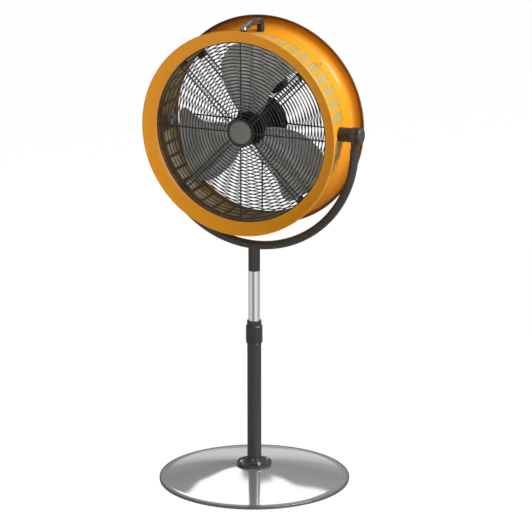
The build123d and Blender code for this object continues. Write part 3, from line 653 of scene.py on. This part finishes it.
def foot_dome():
    """Spun foot: a flat middle, a shallow dome and a flat edge, as one fine lathed sheet."""
    edge = foot_high.x
    top = foot_high.z
    rim = edge - foot_edge_width
    middle = ((foot_flat_radius + rim) / 2, (top + foot_edge_height - foot_sheet) / 2 + foot_bulge)
    dome = through((foot_flat_radius, top), middle, (rim, foot_edge_height), steps=40)
    upper = [(foot_hole_radius, top)] + dome + [(edge, foot_edge_height)]
    lower = [(radius, height - foot_sheet) for radius, height in reversed(upper)]
    made = lathe("foot_dome", upper + lower, Vector((0, 0, 0)), foot_steel, segments=256, crease=25.0,
                 upright=True)
    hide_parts("base_disc")
    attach(made, "stand")


foot_dome()


def window_angles():
    """Bearings of the windows' middles. The sheet is whole at the two pivots."""
    turns = [window_first + math.tau * i / window_count for i in range(window_count)]
    return [turn for turn in turns if barrel_radius * abs(math.sin(turn)) > pivot_clearance]


def mesh_tree():
    """Woven mesh in one window about +X: wires along the drum's axis and wires across them."""
    tree, start, end = geometry_tree("window_weave", [
        ("Bars", "NodeSocketInt", 9), ("Rows", "NodeSocketInt", 20), ("Radius", "NodeSocketFloat", 0.3),
        ("Half Angle", "NodeSocketFloat", 0.05), ("Front", "NodeSocketFloat", 0.0),
        ("Rear", "NodeSocketFloat", 0.1)] + common_inputs)
    link = tree.links.new
    arc = add_node(tree, "GeometryNodeCurveArc", (-700, 200))
    preset(arc, Resolution=5)
    link(start.outputs["Radius"], arc.inputs["Radius"])
    low_angle = math_node(tree, (-900, 300), "MULTIPLY", start.outputs["Half Angle"], -1.0)
    sweep_angle = math_node(tree, (-900, 150), "MULTIPLY", start.outputs["Half Angle"], 2.0)
    link(low_angle, arc.inputs["Start Angle"])
    link(sweep_angle, arc.inputs["Sweep Angle"])
    depth = math_node(tree, (-1000, -50), "SUBTRACT", start.outputs["Front"], start.outputs["Rear"])
    row_step = math_node(tree, (-850, -50), "DIVIDE", depth, start.outputs["Rows"])
    row_offset = add_node(tree, "ShaderNodeCombineXYZ", (-700, -50))
    link(row_step, row_offset.inputs["Z"])
    rows = add_node(tree, "GeometryNodeMeshLine", (-500, -50))
    link(start.outputs["Rows"], rows.inputs["Count"])
    link(row_offset.outputs[0], rows.inputs["Offset"])
    hoops = add_node(tree, "GeometryNodeInstanceOnPoints", (-300, 100))
    link(rows.outputs["Mesh"], hoops.inputs["Points"])
    link(arc.outputs["Curve"], hoops.inputs["Instance"])
    line_end = add_node(tree, "ShaderNodeCombineXYZ", (-700, -300))
    line_start = add_node(tree, "ShaderNodeCombineXYZ", (-700, -450))
    link(start.outputs["Radius"], line_end.inputs["X"])
    link(start.outputs["Radius"], line_start.inputs["X"])
    link(depth, line_end.inputs["Z"])
    line = add_node(tree, "GeometryNodeCurvePrimitiveLine", (-500, -350))
    link(line_start.outputs[0], line.inputs["Start"])
    link(line_end.outputs[0], line.inputs["End"])
    points = add_node(tree, "GeometryNodeMeshLine", (-500, -550))
    preset(points, Offset=(0, 0, 0))
    link(start.outputs["Bars"], points.inputs["Count"])
    index = add_node(tree, "GeometryNodeInputIndex", (-1000, -700))
    spread = math_node(tree, (-850, -600), "DIVIDE", sweep_angle, start.outputs["Bars"])
    middle = math_node(tree, (-850, -750), "ADD", index.outputs[0], 0.5)
    turned = math_node(tree, (-700, -650), "MULTIPLY", spread, middle)
    placed = math_node(tree, (-550, -700), "ADD", turned, low_angle)
    turn = add_node(tree, "ShaderNodeCombineXYZ", (-400, -700))
    link(placed, turn.inputs["Z"])
    bars = add_node(tree, "GeometryNodeInstanceOnPoints", (-300, -450))
    link(points.outputs["Mesh"], bars.inputs["Points"])
    link(line.outputs["Curve"], bars.inputs["Instance"])
    link(turn.outputs[0], bars.inputs["Rotation"])
    both = add_node(tree, "GeometryNodeJoinGeometry", (0, 0))
    link(hoops.outputs["Instances"], both.inputs["Geometry"])
    link(bars.outputs["Instances"], both.inputs["Geometry"])
    real = add_node(tree, "GeometryNodeRealizeInstances", (200, 0))
    link(both.outputs["Geometry"], real.inputs["Geometry"])
    swept_ending(tree, start, end, real.outputs["Geometry"])
    return tree


def window_mesh():
    """Fine wire mesh that fills each window of the barrel's sheet."""
    weave = mesh_tree()
    radius = barrel_radius - drum_sheet / 2
    pane = grown_mesh("window_pane", weave, {
        "Wire Radius": mesh_wire_radius, "Finish": mesh_coat, "Radius": radius,
        "Half Angle": math.asin(window_width / 2 / radius), "Front": window_front, "Rear": window_rear,
        "Rows": round((window_rear - window_front) / mesh_pitch), "Bars": round(window_width / mesh_pitch),
        "Place": (0, window_front, 0)})
    work = bmesh.new()
    for turn in window_angles():
        copy = pane.data.copy()
        copy.transform(Matrix.Translation(drum_centre) @ Matrix.Rotation(-turn, 4, "Y"))
        work.from_mesh(copy)
        bpy.data.meshes.remove(copy)
    bpy.data.objects.remove(pane)
    made = finished_object("window_mesh", work, [mesh_coat])
    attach(made, "head")


window_mesh()

redrawn_nodes = ("front_guard", "rear_guard", "base_disc")
for name in node_finishes:
    if name not in redrawn_nodes:
        smoothed(name)


# ---- floor, world, lamps and camera ----
def floor_material():
    """Pale floor that shows as white to the camera, keeps the object's shadow and is left out of the metal."""
    material = bpy.data.materials.new("pale_floor")
    material.use_nodes = True
    tree = material.node_tree
    tree.nodes.clear()
    seen = add_node(tree, "ShaderNodeLightPath", (-600, 200))
    matt = add_node(tree, "ShaderNodeBsdfDiffuse", (-300, 0))
    preset(matt, Color=(0.9, 0.9, 0.9, 1))
    glow = add_node(tree, "ShaderNodeEmission", (-300, -150))
    preset(glow, Color=(1, 1, 1, 1), Strength=floor_glow)
    share = add_node(tree, "ShaderNodeMath", (-300, 200), operation="MULTIPLY")
    share.inputs[1].default_value = floor_glow_share
    mixed = add_node(tree, "ShaderNodeMixShader", (0, 0))
    clear = add_node(tree, "ShaderNodeBsdfTransparent", (0, -150))
    hidden = add_node(tree, "ShaderNodeMixShader", (200, 0))
    end = add_node(tree, "ShaderNodeOutputMaterial", (400, 0))
    link = tree.links.new
    link(seen.outputs["Is Camera Ray"], share.inputs[0])
    link(share.outputs[0], mixed.inputs["Fac"])
    link(matt.outputs[0], mixed.inputs[1])
    link(glow.outputs[0], mixed.inputs[2])
    link(seen.outputs["Is Glossy Ray"], hidden.inputs["Fac"])
    link(mixed.outputs[0], hidden.inputs[1])
    link(clear.outputs[0], hidden.inputs[2])
    link(hidden.outputs[0], end.inputs["Surface"])
    return material


def studio_floor():
    """Wide flat floor."""
    far = floor_half_width
    mesh = bpy.data.meshes.new("floor")
    mesh.from_pydata([(-far, -far, 0), (far, -far, 0), (far, far, 0), (-far, far, 0)], [], [(0, 1, 2, 3)])
    mesh.materials.append(floor_material())
    floor = new_object("floor", mesh)


def ramp(tree, place, points):
    """Smooth ramp of greys through (position, value) points."""
    node = add_node(tree, "ShaderNodeValToRGB", place)
    node.color_ramp.interpolation = "EASE"
    stops = node.color_ramp.elements
    while len(stops) < len(points):
        stops.new(0.5)
    for stop, (position, value) in zip(stops, points):
        stop.position = position
        stop.color = (value, value, value, 1)
    return node


def studio_world():
    """White to the camera, a soft even fill on the object, and banks of soft boxes in the metal."""
    world = bpy.data.worlds.new("studio")
    bpy.context.scene.world = world
    world.use_nodes = True
    tree = world.node_tree
    tree.nodes.clear()
    link = tree.links.new
    seen = add_node(tree, "ShaderNodeLightPath", (-600, 500))
    where = add_node(tree, "ShaderNodeTexCoord", (-1500, 0))
    turned = add_node(tree, "ShaderNodeVectorRotate", (-1300, 0), rotation_type="Z_AXIS")
    preset(turned, Angle=-camera_turn)
    parts = add_node(tree, "ShaderNodeSeparateXYZ", (-1100, 0))
    link(where.outputs["Generated"], turned.inputs["Vector"])
    link(turned.outputs["Vector"], parts.inputs["Vector"])
    bearing = add_node(tree, "ShaderNodeMath", (-900, 100), operation="ARCTAN2")
    link(parts.outputs["X"], bearing.inputs[0])
    link(parts.outputs["Y"], bearing.inputs[1])
    around = map_range(tree, (-700, 100), -math.pi, math.pi)
    link(bearing.outputs[0], around.inputs["Value"])
    height = map_range(tree, (-700, -200), -1.0, 1.0)
    link(parts.outputs["Z"], height.inputs["Value"])
    # Bearings run from the camera's side (0 and 1) by the left (0.25) and the far side (0.5) to the right.
    # Heights run from straight down (0) by the horizon (0.5) to straight up (1).
    banks = ramp(tree, (-450, 300), [
        (0.0, 0.31), (0.08, 0.27), (0.18, 0.68), (0.30, 0.48), (0.42, 0.42), (0.5, 0.45), (0.62, 0.52),
        (0.71, 0.44), (0.78, 0.45), (0.84, 0.65), (0.89, 0.80), (0.94, 0.85), (0.98, 0.50), (1.0, 0.31)])
    walls = ramp(tree, (-450, 50), [
        (0.5, 0.60), (0.53, 0.58), (0.57, 0.44), (0.60, 0.28), (0.66, 0.20), (0.74, 0.21)])
    above = ramp(tree, (-450, -200), [(0.455, 0.0), (0.485, 1.0)])
    # The lower edge of the white ceiling follows the far side's bearings finely, for the foot's reflection.
    ahead = map_range(tree, (-700, -450), 0.44, 0.58)
    link(around.outputs["Result"], ahead.inputs["Value"])
    sky_edge = ramp(tree, (-450, -450), [
        (0.0, 0.775), (0.193, 0.775), (0.25, 0.735), (0.307, 0.706), (0.335, 0.712), (0.350, 0.770),
        (0.371, 0.790), (0.407, 0.802), (0.457, 0.804), (0.500, 0.794), (0.525, 0.774), (0.550, 0.770),
        (0.586, 0.780), (0.657, 0.762), (1.0, 0.760)])
    link(around.outputs["Result"], banks.inputs["Fac"])
    link(height.outputs["Result"], walls.inputs["Fac"])
    link(height.outputs["Result"], above.inputs["Fac"])
    link(ahead.outputs["Result"], sky_edge.inputs["Fac"])
    room = add_node(tree, "ShaderNodeMix", (-200, 150), data_type="RGBA")
    link(above.outputs["Color"], room.inputs["Factor"])
    link(banks.outputs["Color"], room.inputs["A"])
    link(walls.outputs["Color"], room.inputs["B"])
    over = add_node(tree, "ShaderNodeMath", (-200, -300), operation="SUBTRACT")
    link(height.outputs["Result"], over.inputs[0])
    link(sky_edge.outputs["Color"], over.inputs[1])
    sky = map_range(tree, (-50, -300), -0.008, 0.008, interpolation_type="SMOOTHSTEP")
    link(over.outputs[0], sky.inputs["Value"])
    crown = map_range(tree, (-50, -550), 0.89, 0.94, 1.0, 0.15, interpolation_type="SMOOTHSTEP")
    link(height.outputs["Result"], crown.inputs["Value"])
    panel = math_node(tree, (50, -400), "MULTIPLY", sky.outputs["Result"], crown.outputs["Result"])
    shown = add_node(tree, "ShaderNodeMix", (-50, 0), data_type="RGBA")
    link(panel, shown.inputs["Factor"])
    link(room.outputs["Result"], shown.inputs["A"])
    preset(shown, B=(soft_box_white, soft_box_white, soft_box_white, 1))
    fill = add_node(tree, "ShaderNodeBackground", (100, 200))
    preset(fill, Color=(1, 1, 1, 1), Strength=even_fill)
    bank = add_node(tree, "ShaderNodeBackground", (100, 0))
    link(shown.outputs["Result"], bank.inputs["Color"])
    preset(bank, Strength=1.0)
    white = add_node(tree, "ShaderNodeBackground", (100, -150))
    preset(white, Color=(1, 1, 1, 1), Strength=1.0)
    glossy = add_node(tree, "ShaderNodeMixShader", (300, 100))
    direct = add_node(tree, "ShaderNodeMath", (100, 400), operation="MAXIMUM")
    camera = add_node(tree, "ShaderNodeMixShader", (500, 0))
    end = add_node(tree, "ShaderNodeOutputWorld", (700, 0))
    link(seen.outputs["Is Glossy Ray"], glossy.inputs["Fac"])
    link(fill.outputs[0], glossy.inputs[1])
    link(bank.outputs[0], glossy.inputs[2])
    link(seen.outputs["Is Camera Ray"], direct.inputs[0])
    link(seen.outputs["Is Transmission Ray"], direct.inputs[1])
    link(direct.outputs[0], camera.inputs["Fac"])
    link(glossy.outputs[0], camera.inputs[1])
    link(white.outputs[0], camera.inputs[2])
    link(camera.outputs[0], end.inputs["Surface"])


def soft_light(name, place, size, power):
    """Round lamp that looks at the middle of the drum."""
    lamp = bpy.data.lights.new(name, "AREA")
    lamp.shape = "DISK"
    lamp.size = size
    lamp.energy = power
    made = new_object(name, lamp)
    made.location = place
    made.rotation_euler = (lamp_aim - Vector(place)).to_track_quat("-Z", "Y").to_euler()


def studio_camera():
    """Camera at the photo's viewing angle."""
    lens = bpy.data.cameras.new("camera")
    lens.lens = camera_lens
    lens.sensor_width = camera_sensor
    lens.clip_end = 200.0
    made = new_object("camera", lens)
    made.location = camera_place
    made.rotation_euler = (math.pi / 2 - camera_down, 0, camera_turn)
    bpy.context.scene.camera = made


studio_floor()
studio_world()
soft_light("front", (0.10, -7.0, 1.15), 0.10, 142)
soft_light("right", (6.2, -1.6, 1.2), 1.6, 55)
soft_light("right_top", (3.8, 0.15, 4.3), 1.6, 300)
soft_light("top", (1.2, 0.0, 6.2), 1.6, 45)
studio_camera()
bpy.context.scene.view_settings.view_transform = "Standard"
